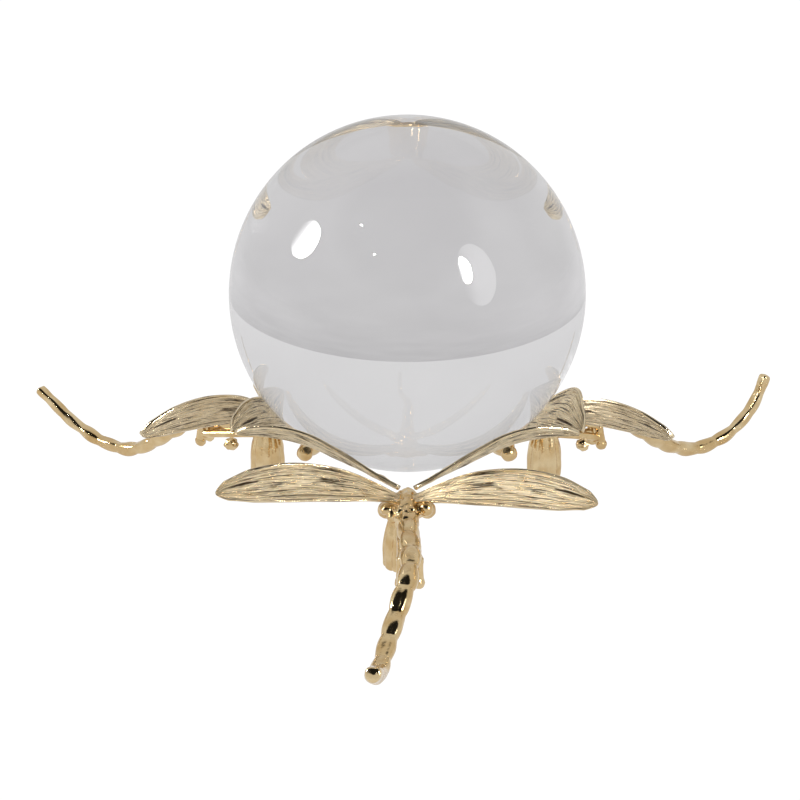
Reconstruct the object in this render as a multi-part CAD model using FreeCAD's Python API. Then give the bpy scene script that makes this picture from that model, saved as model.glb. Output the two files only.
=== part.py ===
"""Crystal ball on a cast stand of three dragonflies.

A solid glass ball lies in a cradle made by the forewings of three nearly equal
dragonflies, which stand at 120 degrees to each other with their heads under
the ball and their tails outwards.  Each dragonfly has a cast body, two
forewings, two hindwings, a pair of hooked legs and a fluted post below its
thorax.  A bead of solder joins each forewing's tip to the next dragonfly's.
The stand rests on the lowest bends of the three tails.

Millimetres, +Z up.  The origin is on the ball's vertical axis at the level of
the table.  A dragonfly is drawn in a frame of its own, with +X outwards along
its back and +Y to its left, and is then turned about the ball's axis.
"""
import FreeCAD, Part
import math
import os

from FreeCAD import Placement, Rotation, Vector

# Ball
BALL_RADIUS = 55.0
BALL_HEIGHT = 76.3
BALL_CENTRE = Vector(0, 0, BALL_HEIGHT)

# Dragonflies: the direction that each tail points in, where its post and the
# middle of its legs' feet stand as (out, to the left), its tail's end radius, and
# the middle line of its hand-bent tail as (out, to the left, up)
DRAGONFLIES = {
    "front": {
        "turn": -90.0,
        "post": (45.5, -1.5),
        "feet": (74.0, 0.9),
        "tip_radius": 2.5,
        "tail": [
            (86.0, -0.4, 17.4), (96.0, -3.6, 10.6), (105.0, -6.2, 6.2), (113.0, -7.5, 4.8),
            (124.0, -8.3, 9.6), (138.0, -8.6, 17.0),
        ],
    },
    "back_right": {
        "turn": 30.0,
        "post": (52.4, 0.0),
        "feet": (73.5, 0.0),
        "tip_radius": 2.0,
        "tail": [
            (86.0, 0.0, 17.4), (96.0, 0.0, 10.2), (106.0, 0.0, 4.8), (117.0, 0.0, 2.4),
            (130.0, 0.0, 5.6), (139.5, 0.0, 13.6), (144.5, 0.0, 24.4),
        ],
    },
    "back_left": {
        "turn": 150.0,
        "post": (53.4, 0.0),
        "feet": (78.5, 0.0),
        "tip_radius": 2.0,
        "tail": [
            (86.0, 0.0, 17.4), (96.0, 0.0, 10.2), (106.0, 0.0, 4.4), (116.0, 0.0, 2.4),
            (131.0, 0.0, 6.2), (149.5, 0.0, 18.0),
        ],
    },
}

# Cast body: the head is an egg shape across the body, and the thorax one along it
HEAD_CENTRE = Vector(35.5, 0, 19.2)
HEAD_HALF_WIDTH = 6.2
HEAD_RADIUS = 3.6
EYE_CENTRE = Vector(34.5, 6.3, 18.6)
EYE_RADIUS = 2.8
THORAX_CENTRE = Vector(45.5, 0, 24.3)
THORAX_HALF_LENGTH = 9.4
THORAX_RADIUS = 4.7
ABDOMEN = [(48.0, 0.0, 24.0), (57.0, 0.4, 22.8), (66.0, 0.9, 22.0), (76.0, 1.0, 20.8)]
ABDOMEN_RADIUS = 3.4
TAIL_RINGS = 24
END_CAP_PROUD = 0.1

# Wings: a leaf outline, as (place along the span, share of the full chord)
LEAF = [
    (0.0, 0.26), (0.12, 0.52), (0.32, 0.84), (0.48, 0.97), (0.62, 1.0), (0.8, 0.86), (0.94, 0.52),
    (1.0, 0.2),
]
WING_THICKNESS = 1.6
FLATTEN_UNTIL = 0.35
LOBE_PLACE = 0.62
LOBE_SPREAD = 0.16

FOREWING_ROOT = Vector(43.0, 2.6, 29.3)
FOREWING_TIP_RADIUS = 60.5
FOREWING_TIP_LIFT = 14.5
FOREWING_NEAREST = 0.5
FOREWING_GAP = 0.8
FOREWING_BOW = 4.0
HALF_SECTOR = 60.0
TIP_SPACING = 1.2

HINDWING_ROOT = Vector(47.5, 2.4, 27.4)
HINDWING_TIP_RADIUS = 83.6
HINDWING_TIP_HEIGHT = 34.3
HINDWING_SPREAD = 41.3
HINDWING_ARCH = 4.5

# Each kind of wing, and the wings that were bent or cast differently from it
WING_KINDS = {
    "forewing": {"chord": 12.0, "root_slope": 30.0, "slope": 46.0, "lobe": 0.0, "tip_rise": 0.0},
    "hindwing": {"chord": 11.6, "root_slope": -35.0, "slope": -62.0, "lobe": 0.0, "tip_rise": 0.0},
}
WING_CHANGES = {
    "front_left_forewing": {"chord": 10.6, "slope": 41.0},
    "front_right_forewing": {"chord": 10.6, "slope": 41.0},
    "front_left_hindwing": {"tip_rise": -1.6},
    "front_right_hindwing": {"tip_rise": 1.4},
    "back_left_left_hindwing": {"chord": 14.4, "tip_rise": 1.6},
    "back_right_right_hindwing": {"chord": 13.0, "tip_rise": 0.8},
    "back_left_left_forewing": {"lobe": 5.0},
    "back_right_right_forewing": {"chord": 15.0, "slope": 50.0, "lobe": 2.0},
}
SIDES = {"left": 1, "right": -1}

# Posts, as (radius, height) up their side, legs and solder
POST_OUTLINE = [(5.9, 5.0), (6.0, 9.0), (5.6, 15.0), (4.2, 21.5)]
POST_FLUTES = 10
FLUTE_RADIUS = 1.2
FLUTE_DEPTH = 0.6
LEG_RADIUS = 1.3
LEG_FOOT_RADIUS = 1.9
KNUCKLE_PROUD = 0.15
LEG_UPPER_START = Vector(66.0, 1.4, 22.4)
LEG_LOWER_START = Vector(56.5, 1.8, 19.6)
LEG_SPREAD = 2.5
LEG_HEEL_HEIGHT = 19.4
LEG_FOOT_HEIGHT = 13.0
LEG_MEETING = 0.6
BEAD_RADIUS = 2.3
BEAD_CENTRE = Vector(61.2, 0, 38.5)
BEAD_ANGLES = {"left": -150.0, "right": -30.0, "back": 90.0}


def smooth(value):
    """A rise from 0 to 1 with no corner at either end."""
    value = min(max(value, 0.0), 1.0)
    return value * value * (3.0 - 2.0 * value)


def mirrored(point, side):
    """The same point on the dragonfly's left (side 1) or right (side -1)."""
    return Vector(point.x, side * point.y, point.z)


def egg(centre, axis, half_length, radius):
    """An egg shape, round about its axis and longer along it."""
    outline = Part.Ellipse(Vector(0, 0, half_length), Vector(radius, 0, 0), Vector())
    edge = Part.ArcOfEllipse(outline, 0.0, math.pi).toShape()
    top, bottom = (vertex.Point for vertex in edge.Vertexes)
    face = Part.Face(Part.Wire([edge, Part.makeLine(bottom, top)]))
    solid = face.revolve(Vector(), Vector(0, 0, 1), 360.0)
    solid.Placement = Placement(centre, Rotation(Vector(0, 0, 1), axis))
    return solid


def spline_through(points):
    spline = Part.BSplineCurve()
    spline.interpolate(points)
    return spline


def directions_along(spline, points):
    """The direction of a smooth line at each of its points."""
    return [Vector(*spline.tangent(spline.parameter(p))[0]).normalize() for p in points]


# Cast body


def make_body(dragonfly):
    """Head, eyes, thorax, abdomen and curled tail, cast in one."""
    tip_radius = dragonfly["tip_radius"]
    middle = spline_through([Vector(*place) for place in ABDOMEN + dragonfly["tail"]])
    points = middle.discretize(Number=TAIL_RINGS)
    rings = []
    for number, (point, way) in enumerate(zip(points, directions_along(middle, points))):
        share = number / (TAIL_RINGS - 1)
        radius = ABDOMEN_RADIUS + (tip_radius - ABDOMEN_RADIUS) * share
        level = Vector(0, 0, 1).cross(way).normalize()
        ring = Part.Wire(Part.makeCircle(radius))
        ring.Placement = Placement(point, Rotation(level, way.cross(level), way, "ZXY"))
        rings.append(ring)
    body = Part.makeLoft(rings, True)
    lumps = [
        egg(HEAD_CENTRE, Vector(0, 1, 0), HEAD_HALF_WIDTH, HEAD_RADIUS),
        egg(THORAX_CENTRE, Vector(1, 0, 0), THORAX_HALF_LENGTH, THORAX_RADIUS),
        Part.makeSphere(tip_radius + END_CAP_PROUD, points[-1]),
    ]
    for side in SIDES.values():
        lumps.append(Part.makeSphere(EYE_RADIUS, mirrored(EYE_CENTRE, side)))
    return body.multiFuse(lumps)


# Wings


def forewing_middle(share, shape):
    """The forewing's middle line: it rises along the ball, nearest at half span."""
    tip_angle = math.radians(HALF_SECTOR) - TIP_SPACING / FOREWING_TIP_RADIUS
    tip = Vector(math.cos(tip_angle), math.sin(tip_angle), 0) * FOREWING_TIP_RADIUS
    place = FOREWING_ROOT + (tip - FOREWING_ROOT) * share
    bow = 1.0 - FOREWING_BOW * 4.0 * share * (1.0 - share) / math.hypot(place.x, place.y)
    root_lift = FOREWING_ROOT.distanceToPoint(BALL_CENTRE) - BALL_RADIUS
    nearest = FOREWING_GAP + WING_THICKNESS / 2
    if share < FOREWING_NEAREST:
        end_lift, span = root_lift, FOREWING_NEAREST
    else:
        end_lift, span = FOREWING_TIP_LIFT, 1.0 - FOREWING_NEAREST
    away = (share - FOREWING_NEAREST) / span
    distance = BALL_RADIUS + nearest + (end_lift - nearest) * away * away
    x, y = place.x * bow, place.y * bow
    drop = math.sqrt(distance ** 2 - x ** 2 - y ** 2)
    return Vector(x, y, BALL_HEIGHT - drop + shape["tip_rise"] * share)


def hindwing_middle(share, shape):
    """The hindwing's middle line: a low arch out to its tip."""
    spread = math.radians(HINDWING_SPREAD)
    tip = Vector(
        HINDWING_TIP_RADIUS * math.cos(spread),
        HINDWING_TIP_RADIUS * math.sin(spread),
        HINDWING_TIP_HEIGHT + shape["tip_rise"],
    )
    place = HINDWING_ROOT + (tip - HINDWING_ROOT) * share
    place.z += HINDWING_ARCH * 4.0 * share * (1.0 - share)
    return place


def wing_section(point, across, along, half_chord):
    """An ellipse square to the wing's length, with its long axis across the wing."""
    thick_way = along.cross(across).normalize()
    across = thick_way.cross(along).normalize()
    half_thickness = WING_THICKNESS / 2
    outline = Part.Ellipse(Vector(), max(half_chord, half_thickness * 1.01), half_thickness)
    wire = Part.Wire(outline.toShape())
    wire.Placement = Placement(point, Rotation(across, thick_way, along, "ZXY"))
    return wire


def make_wing(middle, shape, side):
    """A leaf of cast metal: ellipses along its middle line, flatter at the root."""
    points = [middle(share, shape) for share, _ in LEAF]
    ways = directions_along(spline_through(points), points)
    sections = []
    for (share, width), point, along in zip(LEAF, points, ways):
        level = Vector(0, 0, 1).cross(along).normalize()
        if level.dot(Vector(point.x, point.y, 0)) < 0:
            level = level * -1
        turned_by = (shape["slope"] - shape["root_slope"]) * smooth(share / FLATTEN_UNTIL)
        slope = math.radians(shape["root_slope"] + turned_by)
        across = level * math.cos(slope) + Vector(0, 0, 1) * math.sin(slope)
        lobe = shape["lobe"] * math.exp(-(((share - LOBE_PLACE) / LOBE_SPREAD) ** 2))
        half_chord = (width * shape["chord"] + lobe) / 2
        sections.append(wing_section(point, across, along, half_chord))
    wing = Part.makeLoft(sections, True)
    if side < 0:
        wing = wing.mirror(Vector(), Vector(0, 1, 0))
    return wing


# Posts, legs and solder


def make_post(out, aside):
    """A post that narrows to its top, fluted around, with a flat lower end."""
    bottom, top = POST_OUTLINE[0][1], POST_OUTLINE[-1][1]
    corners = [Vector(radius, 0, height) for radius, height in POST_OUTLINE]
    corners += [Vector(0, 0, top), Vector(0, 0, bottom), corners[0]]
    post = Part.Face(Part.makePolygon(corners)).revolve(Vector(), Vector(0, 0, 1), 360.0)
    flute_centre = POST_OUTLINE[0][0] + FLUTE_RADIUS - FLUTE_DEPTH
    flutes = []
    for number in range(POST_FLUTES):
        angle = 2.0 * math.pi * (number + 0.5) / POST_FLUTES
        foot = Vector(flute_centre * math.cos(angle), flute_centre * math.sin(angle), 0)
        flutes.append(Part.makeCylinder(FLUTE_RADIUS, top + 1.0, foot))
    post = post.cut(flutes)
    post.translate(Vector(out, aside, 0))
    return post


def bar(start, end, start_radius, end_radius):
    """A round bar with flat ends."""
    way = end - start
    if start_radius == end_radius:
        return Part.makeCylinder(start_radius, way.Length, start, way)
    return Part.makeCone(start_radius, end_radius, way.Length, start, way)


def make_leg(out, aside, side):
    """A hooked leg: two bars from the body meet over a rounded foot."""
    heel = Vector(out - 1.2, aside + LEG_SPREAD * side, LEG_HEEL_HEIGHT)
    foot = Vector(out, aside + LEG_SPREAD * side, LEG_FOOT_HEIGHT)
    shin = heel + (foot - heel) * LEG_MEETING
    return bar(heel, foot, LEG_RADIUS, LEG_FOOT_RADIUS).multiFuse([
        bar(mirrored(LEG_UPPER_START, side), heel, LEG_RADIUS, LEG_RADIUS),
        bar(mirrored(LEG_LOWER_START, side), shin, LEG_RADIUS, LEG_RADIUS),
        Part.makeSphere(LEG_RADIUS + KNUCKLE_PROUD, heel),
        Part.makeSphere(LEG_FOOT_RADIUS + END_CAP_PROUD, foot),
    ])


# Assembly


def largest(shape):
    """The main solid that a cut leaves."""
    return max(shape.Solids, key=lambda solid: solid.Volume)


def make_dragonfly(place, dragonfly):
    """All the pieces of one dragonfly, in its own frame, each cut back from the last."""
    body = make_body(dragonfly)
    pieces = {"body": body}
    taken = [body]
    for kind, middle in (("forewing", forewing_middle), ("hindwing", hindwing_middle)):
        for side_name, side in SIDES.items():
            name = f"{side_name}_{kind}"
            shape = {**WING_KINDS[kind], **WING_CHANGES.get(f"{place}_{name}", {})}
            pieces[name] = largest(make_wing(middle, shape, side).cut(taken))
            taken.append(pieces[name])
    pieces["post"] = largest(make_post(*dragonfly["post"]).cut(taken))
    taken.append(pieces["post"])
    legs = []
    for side in SIDES.values():
        legs.append(largest(make_leg(*dragonfly["feet"], side).cut(taken + legs)))
    pieces["legs"] = Part.makeCompound(legs)
    return pieces


def save(name, shape, angle=0.0):
    """Turns a piece about the ball's axis to its place, and writes it."""
    placed = shape.copy()
    placed.rotate(Vector(), Vector(0, 0, 1), angle)
    placed.exportStep(f"parts/{name}.step")
    print(name, len(placed.Solids), placed.isValid(), round(placed.Volume, 1))
    return placed


def main():
    os.makedirs("parts", exist_ok=True)
    ball = save("ball", Part.makeSphere(BALL_RADIUS, BALL_CENTRE))
    forewings = []
    for place, dragonfly in DRAGONFLIES.items():
        for name, shape in make_dragonfly(place, dragonfly).items():
            placed = save(f"{place}_{name}", shape, dragonfly["turn"])
            if name.endswith("forewing"):
                forewings.append(placed)
    for name, angle in BEAD_ANGLES.items():
        bead = Part.makeSphere(BEAD_RADIUS, BEAD_CENTRE)
        bead.rotate(Vector(), Vector(0, 0, 1), angle)
        save(f"{name}_solder_bead", largest(bead.cut(forewings)))
    gap = min(ball.distToShape(wing)[0] for wing in forewings)
    print("nearest wing to ball:", round(gap, 3))


main()
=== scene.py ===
"""Looks of the crystal ball: a solid glass ball on three gold dragonflies.

Sizes are in millimetres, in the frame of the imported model, and become metres
where a mesh is made.  A dragonfly is drawn with +X outwards along its back and
+Y to its left, and then turned about the ball's vertical axis.
"""

import math
import random

import bmesh
import bpy
from mathutils import Matrix, Vector, noise


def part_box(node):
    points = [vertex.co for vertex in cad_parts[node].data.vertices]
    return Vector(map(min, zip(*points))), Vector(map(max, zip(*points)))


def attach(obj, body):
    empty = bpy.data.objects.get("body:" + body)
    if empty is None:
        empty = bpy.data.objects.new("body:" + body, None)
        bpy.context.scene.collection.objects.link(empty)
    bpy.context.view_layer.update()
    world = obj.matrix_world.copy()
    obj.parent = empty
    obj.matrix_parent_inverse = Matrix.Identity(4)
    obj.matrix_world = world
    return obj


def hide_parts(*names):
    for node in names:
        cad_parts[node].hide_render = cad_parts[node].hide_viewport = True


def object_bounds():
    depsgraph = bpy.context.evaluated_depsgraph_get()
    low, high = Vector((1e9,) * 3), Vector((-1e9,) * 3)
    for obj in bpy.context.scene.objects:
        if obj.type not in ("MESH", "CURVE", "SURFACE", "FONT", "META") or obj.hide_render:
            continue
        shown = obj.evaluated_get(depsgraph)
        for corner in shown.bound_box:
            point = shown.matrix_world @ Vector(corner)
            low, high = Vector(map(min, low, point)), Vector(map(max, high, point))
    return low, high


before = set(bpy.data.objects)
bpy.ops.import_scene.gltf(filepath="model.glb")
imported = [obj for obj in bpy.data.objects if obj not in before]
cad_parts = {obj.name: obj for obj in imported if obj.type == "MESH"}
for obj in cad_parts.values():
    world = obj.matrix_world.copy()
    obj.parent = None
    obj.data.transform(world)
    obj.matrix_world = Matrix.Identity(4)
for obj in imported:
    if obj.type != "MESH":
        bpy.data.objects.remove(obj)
CAD_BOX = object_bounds()
MM = 0.001

# The ball, read from the frame
BALL_LOW, BALL_HIGH = (Vector(corner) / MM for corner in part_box("ball"))
BALL_CENTRE = (BALL_LOW + BALL_HIGH) / 2
BALL_RADIUS = (BALL_HIGH.z - BALL_LOW.z) / 2

# Dragonflies: the direction that each tail points in, where its post and the
# middle of its legs' feet stand as (out, to the left), its tail's end radius, and
# the middle line of its hand-bent tail as (out, to the left, up)
DRAGONFLIES = {
    "front": {
        "turn": -90.0,
        "post": (45.5, -1.5),
        "feet": (74.0, 0.9),
        "tip_radius": 2.5,
        "tail": [
            (86.0, -0.4, 17.4), (96.0, -3.6, 10.6), (105.0, -6.2, 6.2), (113.0, -7.5, 4.8),
            (124.0, -8.3, 9.6), (138.0, -8.6, 17.0),
        ],
    },
    "back_right": {
        "turn": 30.0,
        "post": (52.4, 0.0),
        "feet": (73.5, 0.0),
        "tip_radius": 2.0,
        "tail": [
            (86.0, 0.0, 17.4), (96.0, 0.0, 10.2), (106.0, 0.0, 4.8), (117.0, 0.0, 2.4),
            (130.0, 0.0, 5.6), (139.5, 0.0, 13.6), (144.5, 0.0, 24.4),
        ],
    },
    "back_left": {
        "turn": 150.0,
        "post": (53.4, 0.0),
        "feet": (78.5, 0.0),
        "tip_radius": 2.0,
        "tail": [
            (86.0, 0.0, 17.4), (96.0, 0.0, 10.2), (106.0, 0.0, 4.4), (116.0, 0.0, 2.4),
            (131.0, 0.0, 6.2), (149.5, 0.0, 18.0),
        ],
    },
}
SIDES = {"left": 1, "right": -1}

# Camera: its height angle over the ball and its roll in degrees, its distance in
# ball radii, its lens in millimetres, and where the ball is off its axis in degrees
CAMERA_ELEVATION = 17.5
CAMERA_DISTANCE = 12.0
CAMERA_ROLL = 0.1
LENS = 96.0
BALL_ABOVE_AXIS = 2.845
BALL_RIGHT_OF_AXIS = 0.19


def smooth(value):
    """A rise from 0 to 1 with no corner at either end."""
    value = min(max(value, 0.0), 1.0)
    return value * value * (3.0 - 2.0 * value)


def along_table(table, place):
    """A value between the entries of a table, with smooth joins (Catmull-Rom)."""
    places = [entry[0] for entry in table]
    values = [entry[1] for entry in table]
    last = len(table) - 1
    index = max(i for i in range(last) if places[i] <= place or i == 0)
    t = (place - places[index]) / (places[index + 1] - places[index])
    before = values[max(index - 1, 0)]
    start = values[index]
    end = values[index + 1]
    after = values[min(index + 2, last)]
    return start + 0.5 * t * (
        end - before
        + t * (2 * before - 5 * start + 4 * end - after + t * (3 * (start - end) + after - before))
    )


# Meshes


def new_piece(name, mesh, material, body, replaced):
    """A smooth visible piece that rides a body in place of the CAD nodes named."""
    piece = bpy.data.objects.new(name, mesh)
    bpy.context.scene.collection.objects.link(piece)
    mesh.materials.append(material)
    for polygon in mesh.polygons:
        polygon.use_smooth = True
    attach(piece, body)
    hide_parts(*replaced)
    return piece


def turned(angle):
    """From a dragonfly's frame in millimetres to the model's frame in metres."""
    return Matrix.Scale(MM, 4) @ Matrix.Rotation(math.radians(angle), 4, "Z")


# Wings

LEAF = [
    (0.0, 0.26), (0.12, 0.52), (0.32, 0.84), (0.48, 0.97), (0.62, 1.0), (0.8, 0.86), (0.94, 0.52),
    (1.0, 0.3),
]
TIP_ROUND = 0.07
WING_THICKNESS = 1.6
FLATTEN_UNTIL = 0.35

FOREWING_ROOT = Vector((43.0, 2.6, 29.3))
FOREWING_TIP_RADIUS = 60.5
FOREWING_TIP_LIFT = 14.5
FOREWING_NEAREST = 0.5
FOREWING_GAP = 0.8
FOREWING_BOW = 4.0
HALF_SECTOR = 60.0
TIP_SPACING = 1.2

HINDWING_ROOT = Vector((47.5, 2.4, 27.4))
HINDWING_TIP_RADIUS = 83.6
HINDWING_TIP_HEIGHT = 34.3
HINDWING_SPREAD = 41.3
HINDWING_ARCH = 4.5

# Each kind of wing, and the wings that were bent or cast differently from it
WING_KINDS = {
    "forewing": {"chord": 12.0, "root_slope": 30.0, "slope": 46.0, "lobe": 0.0, "lobe_place": 0.6,
                 "lobe_spread": 0.15, "tip_rise": 0.0},
    "hindwing": {"chord": 11.6, "root_slope": -35.0, "slope": -62.0, "lobe": 0.0, "lobe_place": 0.6,
                 "lobe_spread": 0.15, "tip_rise": 0.0},
}
WING_CHANGES = {
    "front_left_forewing": {"chord": 10.6, "slope": 41.0},
    "front_right_forewing": {"chord": 10.6, "slope": 41.0},
    "front_left_hindwing": {"tip_rise": -1.6},
    "front_right_hindwing": {"tip_rise": 1.4},
    "back_left_left_hindwing": {"chord": 14.4, "tip_rise": 1.6},
    "back_right_right_hindwing": {"chord": 13.0, "tip_rise": 0.8},
    "back_left_left_forewing": {"lobe": 7.0, "lobe_place": 0.43, "lobe_spread": 0.08},
    "back_right_right_forewing": {"chord": 13.0, "slope": 46.0, "lobe": 4.5, "lobe_place": 0.76},
}

# Steps along and across a wing, crowded towards its tip, and its surface; rim, groove
# and veins are placed across the wing from -1 at its inner edge to 1 at its outer edge
WING_STEPS = 190
WING_BANDS = 56
TIP_CROWDING = 1.25
CUP_DEPTH = 0.5
RIM_START = 0.86
RIM_WIDTH = 0.06
EDGE_ROUND = 14
GROOVE_PLACE = 0.82
GROOVE_WIDTH = 0.04
GROOVE_DEPTH = 0.5
VEINS = 8
VEINS_REACH = 0.8
VEIN_WIDTH = 0.05
VEIN_HEIGHT = 0.3
FOLD_HEIGHT = 0.6
ROUGH_HEIGHT = 0.38
GRAIN_HEIGHT = 0.14


def forewing_middle(share, shape):
    """The forewing's middle line: it rises along the ball, nearest at half span."""
    tip_angle = math.radians(HALF_SECTOR) - TIP_SPACING / FOREWING_TIP_RADIUS
    tip = Vector((math.cos(tip_angle), math.sin(tip_angle), 0)) * FOREWING_TIP_RADIUS
    place = FOREWING_ROOT.lerp(tip, share)
    bow = 1.0 - FOREWING_BOW * 4.0 * share * (1.0 - share) / math.hypot(place.x, place.y)
    root_lift = (FOREWING_ROOT - BALL_CENTRE).length - BALL_RADIUS
    nearest = FOREWING_GAP + WING_THICKNESS / 2
    if share < FOREWING_NEAREST:
        end_lift, span = root_lift, FOREWING_NEAREST
    else:
        end_lift, span = FOREWING_TIP_LIFT, 1.0 - FOREWING_NEAREST
    away = (share - FOREWING_NEAREST) / span
    distance = BALL_RADIUS + nearest + (end_lift - nearest) * away * away
    x, y = place.x * bow, place.y * bow
    drop = math.sqrt(distance ** 2 - x ** 2 - y ** 2)
    return Vector((x, y, BALL_CENTRE.z - drop + shape["tip_rise"] * share))


def hindwing_middle(share, shape):
    """The hindwing's middle line: a low arch out to its tip."""
    spread = math.radians(HINDWING_SPREAD)
    tip = Vector((
        HINDWING_TIP_RADIUS * math.cos(spread),
        HINDWING_TIP_RADIUS * math.sin(spread),
        HINDWING_TIP_HEIGHT + shape["tip_rise"],
    ))
    place = HINDWING_ROOT.lerp(tip, share)
    place.z += HINDWING_ARCH * 4.0 * share * (1.0 - share)
    return place


def wing_frame(middle, share, shape):
    """The middle point, the way across the wing and the way up from its face."""
    point = middle(share, shape)
    ahead = middle(min(share + 0.01, 1.0), shape) - middle(max(share - 0.01, 0.0), shape)
    ahead.normalize()
    level = Vector((0, 0, 1)).cross(ahead).normalized()
    if level.dot(Vector((point.x, point.y, 0))) < 0:
        level = -level
    turned_by = (shape["slope"] - shape["root_slope"]) * smooth(share / FLATTEN_UNTIL)
    angle = math.radians(shape["root_slope"] + turned_by)
    across = level * math.cos(angle) + Vector((0, 0, 1)) * math.sin(angle)
    across = (across - ahead * across.dot(ahead)).normalized()
    face = ahead.cross(across).normalized()
    if face.z < 0:
        face = -face
    return point, across, face


def leaf_half_width(share, chord):
    """Half the wing's chord at a share of its span, rounded off at the tip."""
    half = along_table(LEAF, share) * chord / 2
    if share > 1.0 - TIP_ROUND:
        into_tip = (share - 1.0 + TIP_ROUND) / TIP_ROUND
        half *= math.sqrt(max(1.0 - into_tip ** 2.4, 0.0))
    return half


def vein_relief(share, band, seed):
    """Height of the cast veins and folds over the wing's face, in millimetres."""
    wander = 0.12 * noise.noise(Vector((share * 3.1, seed, 0.0)))
    height = 0.0
    for number in range(VEINS):
        line = -VEINS_REACH + number * 2 * VEINS_REACH / (VEINS - 1) + wander
        line += 0.07 * noise.noise(Vector((share * 6.0, number * 7.3, seed)))
        height += VEIN_HEIGHT * math.exp(-(((band - line) / VEIN_WIDTH) ** 2))
    fold = noise.noise(Vector((share * 3.4 + seed, band * 5.5, seed * 1.7)))
    rough = noise.noise(Vector((share * 10.0 + seed, band * 17.0, seed * 1.1)))
    grain = noise.noise(Vector((share * 30.0 + seed, band * 42.0, seed * 0.7)))
    height += FOLD_HEIGHT * fold + ROUGH_HEIGHT * rough + GRAIN_HEIGHT * grain
    height -= GROOVE_DEPTH * math.exp(-(((abs(band) - GROOVE_PLACE) / GROOVE_WIDTH) ** 2))
    return height * smooth(share / 0.12) * smooth((1.0 - share) / 0.06)


def make_wing(name, middle, shape, side, turn, seed):
    """A cast leaf with a raised rim, veins and brushed lines along its span."""
    mesh = bpy.data.meshes.new(name)
    work = bmesh.new()
    uv = work.loops.layers.uv.new("along_across")
    top, bottom = [], []
    places = []
    for step in range(WING_STEPS + 1):
        share = 1.0 - (1.0 - step / WING_STEPS) ** TIP_CROWDING
        point, across, face = wing_frame(middle, share, shape)
        half = leaf_half_width(share, shape["chord"])
        lobe = shape["lobe"] * math.exp(
            -(((share - shape["lobe_place"]) / shape["lobe_spread"]) ** 2)
        )
        upper, lower = [], []
        for band_step in range(WING_BANDS + 1):
            band = math.sin(math.pi * (band_step / WING_BANDS - 0.5))
            rim = smooth((abs(band) - RIM_START) / RIM_WIDTH)
            edge = math.sqrt(max(1.0 - abs(band) ** EDGE_ROUND, 0.0))
            thick = WING_THICKNESS / 2 * (0.62 + 0.30 * rim) * edge
            relief = vein_relief(share, band, seed) * (1.0 - rim) * edge
            cup = CUP_DEPTH * (band * band - 0.3)
            place = point + across * (half * band + lobe * max(band, 0.0)) + face * cup
            upper.append(work.verts.new(place + face * (thick + relief)))
            if band_step in (0, WING_BANDS):
                lower.append(upper[-1])
            else:
                lower.append(work.verts.new(place - face * (thick - 0.5 * relief)))
        top.append(upper)
        bottom.append(lower)
        places.append(share)
    for step in range(WING_STEPS):
        for band_step in range(WING_BANDS):
            for sheet, flipped in ((top, False), (bottom, True)):
                corners = [
                    (sheet[step][band_step], step, band_step),
                    (sheet[step + 1][band_step], step + 1, band_step),
                    (sheet[step + 1][band_step + 1], step + 1, band_step + 1),
                    (sheet[step][band_step + 1], step, band_step + 1),
                ]
                if flipped:
                    corners.reverse()
                quad = work.faces.new([corner[0] for corner in corners])
                for loop, (_, at_step, at_band) in zip(quad.loops, corners):
                    loop[uv].uv = (places[at_step], at_band / WING_BANDS)
    for ends in ((top[0], bottom[0]), (top[-1], bottom[-1])):
        ring = ends[0] + ends[1][-2:0:-1]
        work.faces.new(ring)
    bmesh.ops.remove_doubles(work, verts=work.verts, dist=1e-4)
    if side < 0:
        bmesh.ops.scale(work, vec=(1, -1, 1), verts=work.verts)
    bmesh.ops.recalc_face_normals(work, faces=work.faces)
    bmesh.ops.transform(work, matrix=turned(turn), verts=work.verts)
    work.to_mesh(mesh)
    work.free()
    return mesh


# Cast bodies: the abdomen's middle line before the tail, its swellings and end cap,
# the lumps as (centre, half sizes, roughness), and the grains on the thorax

ABDOMEN = [(48.0, 0.0, 24.0), (57.0, 0.4, 22.8), (66.0, 0.9, 22.0), (76.0, 1.0, 20.8)]
ABDOMEN_RADIUS = 3.4
SEGMENT_LENGTH = 8.2
SEGMENT_DEPTH = 0.25
END_CAP_LENGTH = 4.6
GROOVE_AT_CAP = 0.1
END_ROUND = 0.9
FLAT_BACK = 0.45
THORAX = [
    ((45.5, 0, 24.3), (9.0, 4.3, 4.3), 0.16),
    ((54.0, 0.2, 23.2), (4.8, 3.5, 3.4), 0.2),
]
FRONT_KNOBS = [
    ((49.0, 5.7, 25.2), (2.3, 2.2, 2.3), 0.06),
    ((47.5, -5.6, 24.6), (2.6, 2.6, 1.9), 0.14),
    ((49.5, -4.0, 22.8), (2.0, 2.0, 1.8), 0.1),
]
HEAD = [
    ((35.5, 0, 19.2), (3.5, 6.0, 3.5), 0.1),
    ((34.5, 6.3, 18.6), (2.7, 2.6, 2.7), 0.05),
    ((34.5, -6.3, 18.6), (2.7, 2.6, 2.7), 0.05),
]
GRAINS = 110
GRAINS_FROM = 39.5
GRAINS_TO = 55.0
GRAINS_AROUND = 1.9
GRAIN_REACH = 4.1
CAST_VOXEL = 0.3
SOFTENING = 2


def spline_through(points, steps):
    """A smooth line through points, as a list of positions (Catmull-Rom)."""
    line = []
    for index in range(len(points) - 1):
        before = points[max(index - 1, 0)]
        start, end = points[index], points[index + 1]
        after = points[min(index + 2, len(points) - 1)]
        for step in range(steps):
            t = step / steps
            line.append(start + 0.5 * t * (
                (end - before)
                + t * ((2 * before - 5 * start + 4 * end - after)
                       + t * (3 * (start - end) + after - before))
            ))
    line.append(points[-1])
    return line


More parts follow.
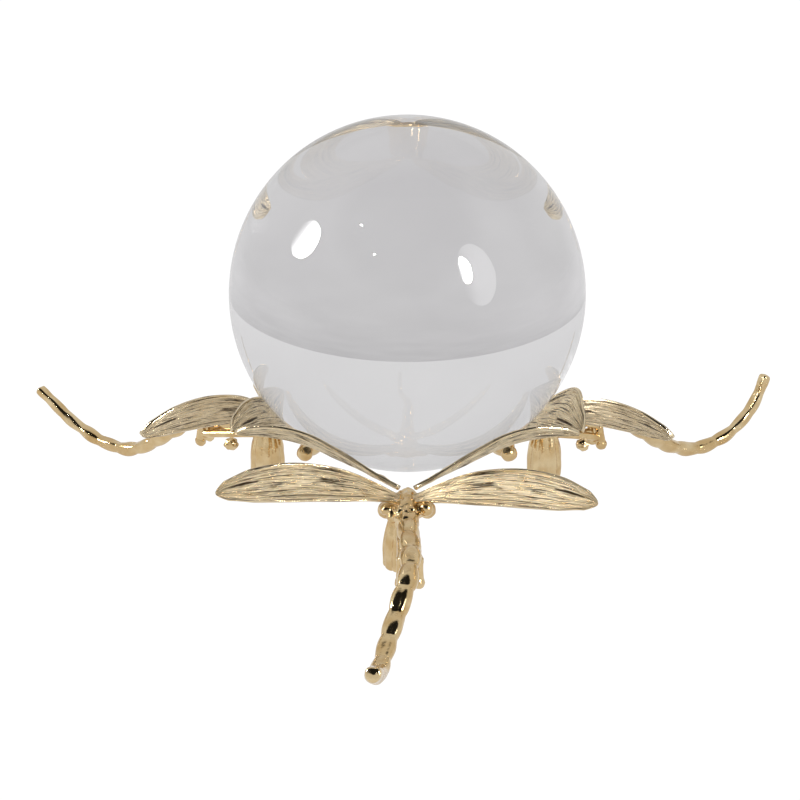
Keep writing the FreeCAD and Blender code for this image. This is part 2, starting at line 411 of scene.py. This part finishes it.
def add_tube(work, centres, radii, sides=40, wobble=None):
    """A closed tube; wobble(index, angle) swells it here and there."""
    rings = []
    for index, centre in enumerate(centres):
        ahead = centres[min(index + 1, len(centres) - 1)] - centres[max(index - 1, 0)]
        ahead.normalize()
        sideways = Vector((0, 0, 1)).cross(ahead)
        sideways = sideways.normalized() if sideways.length > 0.2 else Vector((0, 1, 0))
        upwards = ahead.cross(sideways).normalized()
        ring = []
        for number in range(sides):
            angle = 2 * math.pi * number / sides
            radius = radii[index] + (wobble(index, angle) if wobble else 0.0)
            ring.append(work.verts.new(
                centre + sideways * (radius * math.cos(angle))
                + upwards * (radius * math.sin(angle))
            ))
        rings.append(ring)
    for ring, following in zip(rings, rings[1:]):
        for number in range(sides):
            after = (number + 1) % sides
            work.faces.new((ring[number], ring[after], following[after], following[number]))
    work.faces.new(list(reversed(rings[0])))
    work.faces.new(rings[-1])


def add_blob(work, centre, half_sizes, seed=0.0, rough=0.0):
    """A lump of cast metal: a sphere stretched and pushed about."""
    made = bmesh.ops.create_icosphere(work, subdivisions=4, radius=1.0)
    for vert in made["verts"]:
        push = 1.0 + rough * noise.noise(vert.co * 2.2 + Vector((seed, seed * 0.3, 0)))
        vert.co = Vector((vert.co.x * half_sizes[0], vert.co.y * half_sizes[1],
                          vert.co.z * half_sizes[2])) * push + Vector(centre)


def fused(name, work, voxel):
    """One skin over every lump in the working mesh, as a casting has."""
    mesh = bpy.data.meshes.new(name)
    bmesh.ops.recalc_face_normals(work, faces=work.faces)
    work.to_mesh(mesh)
    work.free()
    holder = bpy.data.objects.new(name + "_making", mesh)
    bpy.context.scene.collection.objects.link(holder)
    skin = holder.modifiers.new("skin", "REMESH")
    skin.mode = "VOXEL"
    skin.voxel_size = voxel
    soften = holder.modifiers.new("soften", "SMOOTH")
    soften.factor = 0.5
    soften.iterations = SOFTENING
    depsgraph = bpy.context.evaluated_depsgraph_get()
    result = bpy.data.meshes.new_from_object(holder.evaluated_get(depsgraph))
    bpy.data.objects.remove(holder)
    result.name = name
    return result


def abdomen_radii(lengths, tip_radius):
    """Swellings along the abdomen, shallower towards the tail, and its end cap."""
    total = lengths[-1]
    radii = []
    for length in lengths:
        place = length / total
        radius = ABDOMEN_RADIUS + (tip_radius - ABDOMEN_RADIUS) * place
        swell = abs(math.sin(math.pi * length / SEGMENT_LENGTH + 0.5)) ** 0.8
        depth = SEGMENT_DEPTH * (1.0 - 0.6 * place)
        radius *= 0.97 - depth + depth * 1.2 * swell
        radius -= GROOVE_AT_CAP * math.exp(-(((length - total + END_CAP_LENGTH) / 0.5) ** 2))
        into_end = (length - total + END_ROUND) / END_ROUND
        if into_end > 0:
            radius *= math.sqrt(max(1.0 - into_end ** 2, 0.02))
        radii.append(radius)
    return radii


def make_body(name, dragonfly, seed):
    """Head, eyes, thorax, lumpy abdomen and curled tail, as one casting."""
    work = bmesh.new()
    centres = spline_through([Vector(place) for place in ABDOMEN + dragonfly["tail"]], 16)
    lengths = [0.0]
    for start, end in zip(centres, centres[1:]):
        lengths.append(lengths[-1] + (end - start).length)

    def wobble(index, angle):
        spot = Vector((lengths[index] * 0.17, math.cos(angle) * 0.9 + seed, math.sin(angle) * 0.9))
        lump = 0.7 * (1.0 - 0.6 * lengths[index] / lengths[-1]) * noise.noise(spot)
        return lump - FLAT_BACK * max(math.sin(angle), 0.0) ** 6

    lumps = THORAX + HEAD + (FRONT_KNOBS if name.startswith("front") else [])
    radii = abdomen_radii(lengths, dragonfly["tip_radius"])
    add_tube(work, centres, radii, wobble=wobble)
    for number, (centre, half_sizes, rough) in enumerate(lumps):
        add_blob(work, centre, half_sizes, seed + 3 * number, rough)
    chance = random.Random(int(seed * 100))
    for _ in range(GRAINS):
        angle = chance.uniform(-GRAINS_AROUND, GRAINS_AROUND)
        out = chance.uniform(GRAINS_FROM, GRAINS_TO)
        reach = GRAIN_REACH - 0.02 * (out - 45.5) ** 2
        size = chance.uniform(0.4, 0.9)
        add_blob(
            work,
            (out, reach * math.sin(angle), 24.1 + reach * math.cos(angle)),
            (size, size, size * 0.9),
        )
    mesh = fused(name, work, CAST_VOXEL)
    mesh.transform(turned(dragonfly["turn"]))
    return mesh


# Posts, legs and solder; the post's outline is (height, radius) up its side

POST_OUTLINE = [(5.0, 5.9), (9.0, 6.0), (15.0, 5.6), (21.5, 4.2)]
POST_RINGS = 36
FLUTE_DEPTH = 0.75
FLUTE_FOLDS = 5.0
LEG_RADIUS = 1.3
LEG_UPPER_START = Vector((66.0, 1.4, 22.4))
LEG_LOWER_START = Vector((56.5, 1.8, 19.6))
LEG_SPREAD = 2.5
LEG_HEEL_HEIGHT = 19.4
LEG_FOOT_HEIGHT = 13.0
LEG_MEETING = 0.6
HEEL_BACK = 1.2
LEG_VOXEL = 0.22
BEAD_CENTRE = Vector((61.2, 0, 38.5))
BEAD_GRAINS = 9
BEAD_GRAIN_SIZE = (0.75, 0.75, 0.75)
BEAD_VOXEL = 0.2


def make_post(name, dragonfly, seed):
    """A tapered post with uneven flutes and worn ends."""
    work = bmesh.new()
    bottom, top = POST_OUTLINE[0][0], POST_OUTLINE[-1][0]
    heights = [bottom + (top - bottom) * ring / POST_RINGS for ring in range(POST_RINGS + 1)]
    centres = [Vector((*dragonfly["post"], height)) for height in heights]
    radii = [along_table(POST_OUTLINE, min(height, top - 1e-3)) for height in heights]
    radii[0] -= 0.7
    radii[1] -= 0.2

    def flute(index, angle):
        uneven = 0.3 * noise.noise(Vector((angle, seed, 0)))
        fold = abs(math.cos(FLUTE_FOLDS * angle + uneven))
        rough = noise.noise(Vector((math.cos(angle) * 2, math.sin(angle) * 2 + seed, index * 0.09)))
        return -FLUTE_DEPTH * (1.0 - fold) ** 2 - 0.15 + 0.25 * rough

    add_tube(work, centres, radii, sides=120, wobble=flute)
    mesh = fused(name, work, CAST_VOXEL)
    mesh.transform(turned(dragonfly["turn"]))
    return mesh


def make_legs(name, dragonfly, seed):
    """Two hooked legs, each with a brace and a rounded foot."""
    work = bmesh.new()
    out, middle = dragonfly["feet"]
    for side in SIDES.values():
        aside = middle + LEG_SPREAD * side
        heel = Vector((out - HEEL_BACK, aside, LEG_HEEL_HEIGHT))
        foot = Vector((out, aside, LEG_FOOT_HEIGHT))
        upper = Vector((LEG_UPPER_START.x, LEG_UPPER_START.y * side, LEG_UPPER_START.z))
        lower = Vector((LEG_LOWER_START.x, LEG_LOWER_START.y * side, LEG_LOWER_START.z))
        route = [upper, upper.lerp(heel, 0.6), heel, foot]
        centres = spline_through(route, 10)
        radii = []
        for number in range(len(centres)):
            into_foot = smooth((number / len(centres) - 0.72) / 0.28)
            uneven = 0.12 * noise.noise(Vector((number * 0.3, seed, side)))
            radii.append(LEG_RADIUS * (1.0 + uneven) + 0.5 * into_foot)
        radii[-1] *= 0.6
        add_tube(work, centres, radii, sides=20)
        shin = heel.lerp(foot, LEG_MEETING)
        brace = [lower.lerp(shin, number / 8) for number in range(9)]
        add_tube(work, brace, [LEG_RADIUS] * len(brace), sides=16)
        add_blob(work, foot, (1.9, 1.9, 1.95), seed, 0.1)
        add_blob(work, heel, (1.5, 1.5, 1.45), seed + 2, 0.2)
    mesh = fused(name, work, LEG_VOXEL)
    mesh.transform(turned(dragonfly["turn"]))
    return mesh


def make_bead(name, turn, seed):
    """A rough bead of solder over the meeting of two wing tips."""
    work = bmesh.new()
    chance = random.Random(int(seed))
    add_blob(work, BEAD_CENTRE, (2.1, 2.1, 1.9), seed, 0.25)
    for _ in range(BEAD_GRAINS):
        way = Vector((chance.uniform(-1, 1), chance.uniform(-1, 1), chance.uniform(-1, 1)))
        way.normalize()
        add_blob(work, BEAD_CENTRE + way * 1.35, BEAD_GRAIN_SIZE, seed, 0.2)
    mesh = fused(name, work, BEAD_VOXEL)
    mesh.transform(turned(turn))
    return mesh


# Ball


def make_ball():
    """A true sphere, fine enough to bend light without facets."""
    mesh = bpy.data.meshes.new("glass_sphere")
    work = bmesh.new()
    bmesh.ops.create_icosphere(work, subdivisions=7, radius=BALL_RADIUS)
    bmesh.ops.translate(work, vec=BALL_CENTRE, verts=work.verts)
    bmesh.ops.scale(work, vec=(MM, MM, MM), verts=work.verts)
    work.to_mesh(mesh)
    work.free()
    return mesh


# Materials


def empty_material(name):
    """A new material with no nodes in it yet."""
    material = bpy.data.materials.new(name)
    material.use_nodes = True
    material.node_tree.nodes.clear()
    return material, material.node_tree.nodes, material.node_tree.links


GOLD_LIGHT = (0.78, 0.62, 0.37, 1)
GOLD_DEEP = (0.60, 0.40, 0.17, 1)
# Near-black colour of the painted shade streaks on the wings
PAINTED_SHADE_COLOUR = (0.05, 0.03, 0.015, 1)
WING_LIGHT = (0.90, 0.78, 0.56, 1)
WING_DEEP = (0.64, 0.49, 0.28, 1)


def polished_gold():
    """Mirror-bright pale gold plating with faint unevenness and darker patches at random."""
    material, nodes, links = empty_material("polished_gold")
    output = nodes.new("ShaderNodeOutputMaterial")
    shader = nodes.new("ShaderNodeBsdfPrincipled")
    shader.inputs["Metallic"].default_value = 1.0
    place = nodes.new("ShaderNodeTexCoord")
    cloud = nodes.new("ShaderNodeTexNoise")
    cloud.inputs["Scale"].default_value = 160.0
    cloud.inputs["Detail"].default_value = 4.0
    tint = nodes.new("ShaderNodeValToRGB")
    tint.color_ramp.elements[0].position = 0.3
    tint.color_ramp.elements[0].color = GOLD_DEEP
    tint.color_ramp.elements[1].position = 0.68
    tint.color_ramp.elements[1].color = GOLD_LIGHT
    gloss = nodes.new("ShaderNodeMapRange")
    gloss.inputs["To Min"].default_value = 0.05
    gloss.inputs["To Max"].default_value = 0.16
    fine = nodes.new("ShaderNodeTexNoise")
    fine.inputs["Scale"].default_value = 700.0
    fine.inputs["Detail"].default_value = 3.0
    bump = nodes.new("ShaderNodeBump")
    bump.inputs["Strength"].default_value = 0.3
    bump.inputs["Distance"].default_value = 0.0003
    links.new(place.outputs["Object"], cloud.inputs["Vector"])
    links.new(place.outputs["Object"], fine.inputs["Vector"])
    links.new(cloud.outputs["Fac"], tint.inputs["Fac"])
    links.new(cloud.outputs["Fac"], gloss.inputs["Value"])
    links.new(tint.outputs["Color"], shader.inputs["Base Color"])
    links.new(gloss.outputs["Result"], shader.inputs["Roughness"])
    links.new(fine.outputs["Fac"], bump.inputs["Height"])
    links.new(bump.outputs["Normal"], shader.inputs["Normal"])
    links.new(shader.outputs["BSDF"], output.inputs["Surface"])
    return material


def streaks(nodes, links, place, along, across, detail):
    """Noise drawn out along the wing's span."""
    stretch = nodes.new("ShaderNodeMapping")
    stretch.inputs["Scale"].default_value = (along, across, 1.0)
    lines = nodes.new("ShaderNodeTexNoise")
    lines.inputs["Scale"].default_value = 1.0
    lines.inputs["Detail"].default_value = detail
    lines.inputs["Roughness"].default_value = 0.65
    links.new(place.outputs["UV"], stretch.inputs["Vector"])
    links.new(stretch.outputs["Vector"], lines.inputs["Vector"])
    return lines


def rim_share(nodes, links, place):
    """Nothing over the wing's face, rising to one on its polished rim."""
    split = nodes.new("ShaderNodeSeparateXYZ")
    from_middle = nodes.new("ShaderNodeMath")
    from_middle.operation = "SUBTRACT"
    from_middle.inputs[1].default_value = 0.5
    size = nodes.new("ShaderNodeMath")
    size.operation = "ABSOLUTE"
    rim = nodes.new("ShaderNodeMapRange")
    rim.inputs["From Min"].default_value = 0.32
    rim.inputs["From Max"].default_value = 0.36
    links.new(place.outputs["UV"], split.inputs["Vector"])
    links.new(split.outputs["Y"], from_middle.inputs[0])
    links.new(from_middle.outputs["Value"], size.inputs[0])
    links.new(size.outputs["Value"], rim.inputs["Value"])
    return rim


def brushed_gold():
    """Wing plating, brushed along the span, with near-black streaks of painted shade and polished
    rims.
    """
    material, nodes, links = empty_material("brushed_gold")
    output = nodes.new("ShaderNodeOutputMaterial")
    shader = nodes.new("ShaderNodeBsdfPrincipled")
    shader.inputs["Metallic"].default_value = 1.0
    place = nodes.new("ShaderNodeUVMap")
    place.uv_map = "along_across"
    lines = streaks(nodes, links, place, 9.0, 70.0, 6.0)
    # Painted shade: near-black streaks along the span, mixed into the wing's base colour
    painted_shade_streaks = streaks(nodes, links, place, 4.0, 34.0, 4.0)
    rim = rim_share(nodes, links, place)
    tint = nodes.new("ShaderNodeValToRGB")
    tint.color_ramp.elements[0].position = 0.32
    tint.color_ramp.elements[0].color = WING_DEEP
    tint.color_ramp.elements[1].position = 0.6
    tint.color_ramp.elements[1].color = WING_LIGHT
    painted_shade_mask = nodes.new("ShaderNodeMapRange")
    painted_shade_mask.inputs["From Min"].default_value = 0.435
    painted_shade_mask.inputs["From Max"].default_value = 0.455
    painted_shade_mask.inputs["To Min"].default_value = 0.97
    painted_shade_mask.inputs["To Max"].default_value = 0.0
    # The wing's tint, darkened to near-black where the streaks paint shade
    colour = nodes.new("ShaderNodeMix")
    colour.data_type = "RGBA"
    colour.inputs[7].default_value = PAINTED_SHADE_COLOUR
    brushed = nodes.new("ShaderNodeMapRange")
    brushed.inputs["From Min"].default_value = 0.35
    brushed.inputs["From Max"].default_value = 0.65
    brushed.inputs["To Min"].default_value = 0.18
    brushed.inputs["To Max"].default_value = 0.40
    gloss = nodes.new("ShaderNodeMix")
    gloss.inputs[3].default_value = 0.07
    texture = nodes.new("ShaderNodeMapRange")
    texture.inputs["To Min"].default_value = 0.9
    texture.inputs["To Max"].default_value = 0.15
    bump = nodes.new("ShaderNodeBump")
    bump.inputs["Distance"].default_value = 0.0005
    links.new(lines.outputs["Fac"], tint.inputs["Fac"])
    links.new(painted_shade_streaks.outputs["Fac"], painted_shade_mask.inputs["Value"])
    links.new(painted_shade_mask.outputs["Result"], colour.inputs[0])
    links.new(tint.outputs["Color"], colour.inputs[6])
    links.new(lines.outputs["Fac"], brushed.inputs["Value"])
    links.new(rim.outputs["Result"], gloss.inputs[0])
    links.new(brushed.outputs["Result"], gloss.inputs[2])
    links.new(rim.outputs["Result"], texture.inputs["Value"])
    links.new(texture.outputs["Result"], bump.inputs["Strength"])
    links.new(lines.outputs["Fac"], bump.inputs["Height"])
    links.new(colour.outputs[2], shader.inputs["Base Color"])
    links.new(gloss.outputs[0], shader.inputs["Roughness"])
    links.new(bump.outputs["Normal"], shader.inputs["Normal"])
    links.new(shader.outputs["BSDF"], output.inputs["Surface"])
    return material


def clear_glass():
    """Solid optical glass, a little grey in its depth."""
    material, nodes, links = empty_material("clear_glass")
    output = nodes.new("ShaderNodeOutputMaterial")
    shader = nodes.new("ShaderNodeBsdfPrincipled")
    shader.inputs["Roughness"].default_value = 0.0
    shader.inputs["IOR"].default_value = 1.52
    shader.inputs["Transmission Weight"].default_value = 1.0
    place = nodes.new("ShaderNodeTexCoord")
    haze = nodes.new("ShaderNodeTexNoise")
    haze.inputs["Scale"].default_value = 22.0
    haze.inputs["Detail"].default_value = 3.0
    tint = nodes.new("ShaderNodeValToRGB")
    tint.color_ramp.elements[0].position = 0.3
    tint.color_ramp.elements[0].color = (0.90, 0.89, 0.905, 1)
    tint.color_ramp.elements[1].position = 0.7
    tint.color_ramp.elements[1].color = (0.96, 0.955, 0.96, 1)
    links.new(place.outputs["Object"], haze.inputs["Vector"])
    links.new(haze.outputs["Fac"], tint.inputs["Fac"])
    links.new(tint.outputs["Color"], shader.inputs["Base Color"])
    links.new(shader.outputs["BSDF"], output.inputs["Surface"])
    return material


# Stage, in metres

FLOOR_GAP = 0.0002
FLOOR_HALF_WIDTH = 2.6
FLOOR_HALF_DEPTH = 0.9
FLOOR_IN_GOLD = 0.62
FLOOR_IN_GLASS = 0.41
WALL_TOP = 0.78
WALL_COLOUR = (0.74, 0.74, 0.74, 1)
CEILING_FROM = 0.95
CEILING_COLOUR = (0.015, 0.015, 0.015, 1)
CEILING_TILT = 0.55


def pale_floor():
    """White where the camera looks straight at it, pale in the gold, grey in the glass."""
    material, nodes, links = empty_material("pale_floor")
    output = nodes.new("ShaderNodeOutputMaterial")
    white = nodes.new("ShaderNodeEmission")
    white.inputs["Strength"].default_value = 1.05
    grey = nodes.new("ShaderNodeEmission")
    glow = nodes.new("ShaderNodeMapRange")
    glow.inputs["To Min"].default_value = FLOOR_IN_GOLD
    glow.inputs["To Max"].default_value = FLOOR_IN_GLASS
    place = nodes.new("ShaderNodeTexCoord")
    cloud = nodes.new("ShaderNodeTexNoise")
    cloud.inputs["Scale"].default_value = 9.0
    cloud.inputs["Detail"].default_value = 4.0
    tint = nodes.new("ShaderNodeValToRGB")
    tint.color_ramp.elements[0].position = 0.35
    tint.color_ramp.elements[0].color = (0.94, 0.93, 0.94, 1)
    tint.color_ramp.elements[1].position = 0.7
    tint.color_ramp.elements[1].color = (1.06, 1.05, 1.06, 1)
    matt = nodes.new("ShaderNodeBsdfDiffuse")
    matt.inputs["Color"].default_value = (0.2, 0.2, 0.2, 1)
    lit = nodes.new("ShaderNodeAddShader")
    path = nodes.new("ShaderNodeLightPath")
    seen = nodes.new("ShaderNodeMixShader")
    links.new(place.outputs["Object"], cloud.inputs["Vector"])
    links.new(cloud.outputs["Fac"], tint.inputs["Fac"])
    links.new(tint.outputs["Color"], grey.inputs["Color"])
    links.new(path.outputs["Is Transmission Ray"], glow.inputs["Value"])
    links.new(glow.outputs["Result"], grey.inputs["Strength"])
    links.new(grey.outputs["Emission"], lit.inputs[0])
    links.new(matt.outputs["BSDF"], lit.inputs[1])
    links.new(path.outputs["Is Camera Ray"], seen.inputs[0])
    links.new(lit.outputs["Shader"], seen.inputs[1])
    links.new(white.outputs["Emission"], seen.inputs[2])
    links.new(seen.outputs["Shader"], output.inputs["Surface"])
    return material


def make_floor():
    """A plain table top just under the stand, cut off straight at its far edge."""
    mesh = bpy.data.meshes.new("floor")
    work = bmesh.new()
    bmesh.ops.create_grid(work, x_segments=12, y_segments=4, size=1.0)
    bmesh.ops.scale(work, vec=(FLOOR_HALF_WIDTH, FLOOR_HALF_DEPTH, 1), verts=work.verts)
    work.to_mesh(mesh)
    work.free()
    floor = bpy.data.objects.new("floor", mesh)
    bpy.context.scene.collection.objects.link(floor)
    floor.location.z = CAD_BOX[0][2] - FLOOR_GAP
    mesh.materials.append(pale_floor())


def make_room():
    """A pale wall all round, under a dark ceiling that comes lowest over the camera.

    Straight in the camera's view it is as white as the floor.
    """
    world = bpy.data.worlds.new("room")
    bpy.context.scene.world = world
    world.use_nodes = True
    nodes, links = world.node_tree.nodes, world.node_tree.links
    background = nodes["Background"]
    place = nodes.new("ShaderNodeTexCoord")
    upwards = nodes.new("ShaderNodeVectorMath")
    upwards.operation = "DOT_PRODUCT"
    upwards.inputs[1].default_value = (0, -CEILING_TILT, 1)
    height = nodes.new("ShaderNodeValToRGB")
    ramp = height.color_ramp
    ramp.elements[0].position = WALL_TOP
    ramp.elements[0].color = WALL_COLOUR
    ramp.elements[1].position = CEILING_FROM
    ramp.elements[1].color = CEILING_COLOUR
    links.new(place.outputs["Generated"], upwards.inputs[0])
    links.new(upwards.outputs["Value"], height.inputs["Fac"])
    path = nodes.new("ShaderNodeLightPath")
    seen = nodes.new("ShaderNodeMix")
    seen.data_type = "RGBA"
    seen.inputs[7].default_value = (1.05, 1.05, 1.05, 1)
    links.new(path.outputs["Is Camera Ray"], seen.inputs[0])
    links.new(height.outputs["Color"], seen.inputs[6])
    links.new(seen.outputs[2], background.inputs["Color"])


def add_softbox(name, direction, distance, size, watts, fade):
    """An oval light that faces the ball and fades over a share of its width."""
    light = bpy.data.lights.new(name, "AREA")
    light.shape = "ELLIPSE"
    light.size, light.size_y = size
    light.energy = watts
    light.use_nodes = True
    nodes, links = light.node_tree.nodes, light.node_tree.links
    place = nodes.new("ShaderNodeNewGeometry")
    split = nodes.new("ShaderNodeSeparateXYZ")
    fading = nodes.new("ShaderNodeMapRange")
    fading.interpolation_type = "SMOOTHSTEP"
    fading.inputs["From Max"].default_value = fade
    links.new(place.outputs["Parametric"], split.inputs["Vector"])
    links.new(split.outputs["X"], fading.inputs["Value"])
    links.new(fading.outputs["Result"], nodes["Emission"].inputs["Strength"])
    lamp = bpy.data.objects.new(name, light)
    bpy.context.scene.collection.objects.link(lamp)
    way = Vector(direction).normalized()
    lamp.location = BALL_CENTRE * MM + way * distance
    lamp.rotation_euler = way.to_track_quat("Z", "Y").to_euler()


def make_lights():
    """A softbox at the left, one in front at the right with a screen, and two sparks."""
    add_softbox("left_softbox", (-0.84, -0.09, 0.5), 1.2, (0.42, 0.42), 20, 1.0)
    add_softbox("right_softbox", (0.575, -0.675, 0.46), 1.2, (0.17, 0.34), 9, 0.6)
    add_softbox("right_screen", (0.69, -0.62, 0.40), 1.3, (0.56, 0.84), 3.0, 0.5)
    add_softbox("upper_spark", (-0.44, -0.386, 0.811), 1.5, (0.06, 0.02), 0.5, 0.1)
    add_softbox("front_spark", (-0.335, -0.691, 0.641), 1.5, (0.03, 0.03), 0.3, 0.1)


def make_camera():
    """A long lens from the front, a little above the ball."""
    data = bpy.data.cameras.new("camera")
    data.lens = LENS
    data.sensor_width = 36.0
    data.clip_end = 20.0
    camera = bpy.data.objects.new("camera", data)
    bpy.context.scene.collection.objects.link(camera)
    elevation = math.radians(CAMERA_ELEVATION)
    out = Vector((0, -math.cos(elevation), math.sin(elevation)))
    camera.location = (BALL_CENTRE + out * CAMERA_DISTANCE * BALL_RADIUS) * MM
    turn = out.to_track_quat("Z", "Y").to_matrix().to_4x4()
    turn = turn @ Matrix.Rotation(math.radians(-BALL_ABOVE_AXIS), 4, "X")
    turn = turn @ Matrix.Rotation(math.radians(BALL_RIGHT_OF_AXIS), 4, "Y")
    turn = turn @ Matrix.Rotation(math.radians(CAMERA_ROLL), 4, "Z")
    camera.rotation_euler = turn.to_euler()
    bpy.context.scene.camera = camera


def main():
    gold = polished_gold()
    wing_gold = brushed_gold()
    glass = clear_glass()
    for number, (place, dragonfly) in enumerate(DRAGONFLIES.items()):
        seed = 11.3 + 17.9 * number
        for part, made in (
            ("body", make_body(f"{place}_cast_body", dragonfly, seed)),
            ("post", make_post(f"{place}_fluted_post", dragonfly, seed)),
            ("legs", make_legs(f"{place}_hooked_legs", dragonfly, seed)),
        ):
            new_piece(made.name, made, gold, "stand", [f"{place}_{part}"])
        for kind, middle in (("forewing", forewing_middle), ("hindwing", hindwing_middle)):
            for side_name, side in SIDES.items():
                seed += 2.7
                name = f"{place}_{side_name}_{kind}"
                shape = {**WING_KINDS[kind], **WING_CHANGES.get(name, {})}
                leaf = make_wing(name + "_leaf", middle, shape, side, dragonfly["turn"], seed)
                new_piece(leaf.name, leaf, wing_gold, "stand", [name])
    for number, (name, turn) in enumerate((("left", -150.0), ("right", -30.0), ("back", 90.0))):
        bead = make_bead(f"{name}_bead", turn, 5 + number)
        new_piece(f"{name}_bead", bead, gold, "stand", [f"{name}_solder_bead"])
    new_piece("glass_sphere", make_ball(), glass, "glass_ball", ["ball"])
    make_floor()
    make_room()
    make_lights()
    make_camera()
    bpy.context.scene.view_settings.view_transform = "Standard"


main()
